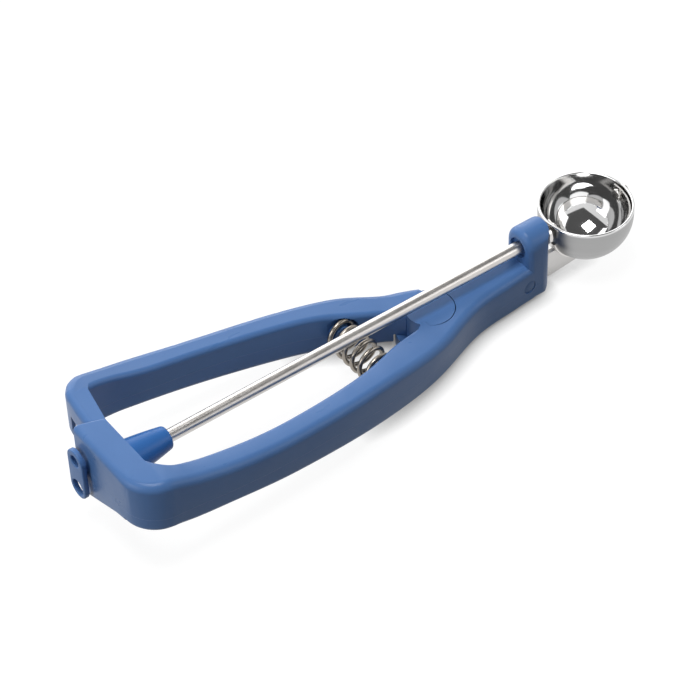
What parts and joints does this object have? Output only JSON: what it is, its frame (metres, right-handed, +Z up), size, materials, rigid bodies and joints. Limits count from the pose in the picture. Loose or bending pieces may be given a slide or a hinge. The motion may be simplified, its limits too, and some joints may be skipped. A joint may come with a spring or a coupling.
{
  "type": "lever ice cream scoop",
  "caption": "Squeeze-handle ice cream scoop: plastic lever handle, geared drive rod, steel bowl and a scraper blade that sweeps the bowl.",
  "frame": {"origin": "Under the middle of the tool's bounding box, at the height of its lowest face, the underside of the head.", "axes": "+X runs along the drive rod from the hanging tab to the bowl, +Y is the side of the moving lever, +Z is up, the way the bowl opens."},
  "size_m": [0.2214, 0.0621, 0.0383],
  "materials": {
    "blue_plastic": "satin moulded plastic, lightly grained",
    "blue_plastic_lever": "satin moulded plastic, lightly grained",
    "sleeve_plastic": "satin moulded plastic",
    "tab_plastic": "satin moulded plastic",
    "rack_steel": "stamped stainless steel",
    "pin_steel": "turned stainless steel",
    "pinion_steel": "cut stainless steel",
    "rod_steel": "polished stainless steel",
    "collar_steel": "turned stainless steel",
    "washer_steel": "stamped stainless steel",
    "spring_steel": "drawn stainless spring wire",
    "shank_steel": "blanked stainless sheet",
    "saddle_steel": "formed stainless strip",
    "bowl_steel": "mirror inside, satin outside",
    "blade_steel": "polished stainless strip",
    "rivet_steel": "turned stainless steel"
  },
  "bodies": {
    "handle": {"handle_frame": "blue_plastic", "bearing_sleeve": "sleeve_plastic", "hanging_tab": "tab_plastic", "return_spring": "spring_steel", "shank_plate": "shank_steel", "shank_pin": "pin_steel", "bowl_saddle": "saddle_steel", "bowl": "bowl_steel", "far_rivet": "rivet_steel"},
    "lever": {"lever_arm": "blue_plastic_lever", "gear_rack": "rack_steel", "rack_pin_inner": "pin_steel", "rack_pin_outer": "pin_steel", "pivot_pin": "pin_steel", "pivot_washer": "washer_steel"},
    "scraper": {"drive_rod": "rod_steel", "pinion": "pinion_steel", "pinion_pin": "pin_steel", "thrust_collar": "collar_steel", "scraper_blade": "blade_steel", "drive_rivet": "rivet_steel"}
  },
  "joints": [
    {"name": "lever_squeeze", "type": "hinge", "parent": "handle", "child": "lever", "pos_m": [0.0256, 0, 0.0213], "axis": [0, 0, 1], "range_deg": [0, 5.35], "stiffness_Nm_per_rad": 2.5, "springref_deg": -6.88, "deforming": ["return_spring"]},
    {"name": "scraper_turn", "type": "hinge", "parent": "handle", "child": "scraper", "pos_m": [0, 0, 0.0213], "axis": [1, 0, 0], "range_deg": [0, 170]}
  ],
  "couplings": [
    {"joint": "scraper_turn", "follows": "lever_squeeze", "ratio": 31.75}
  ]
}
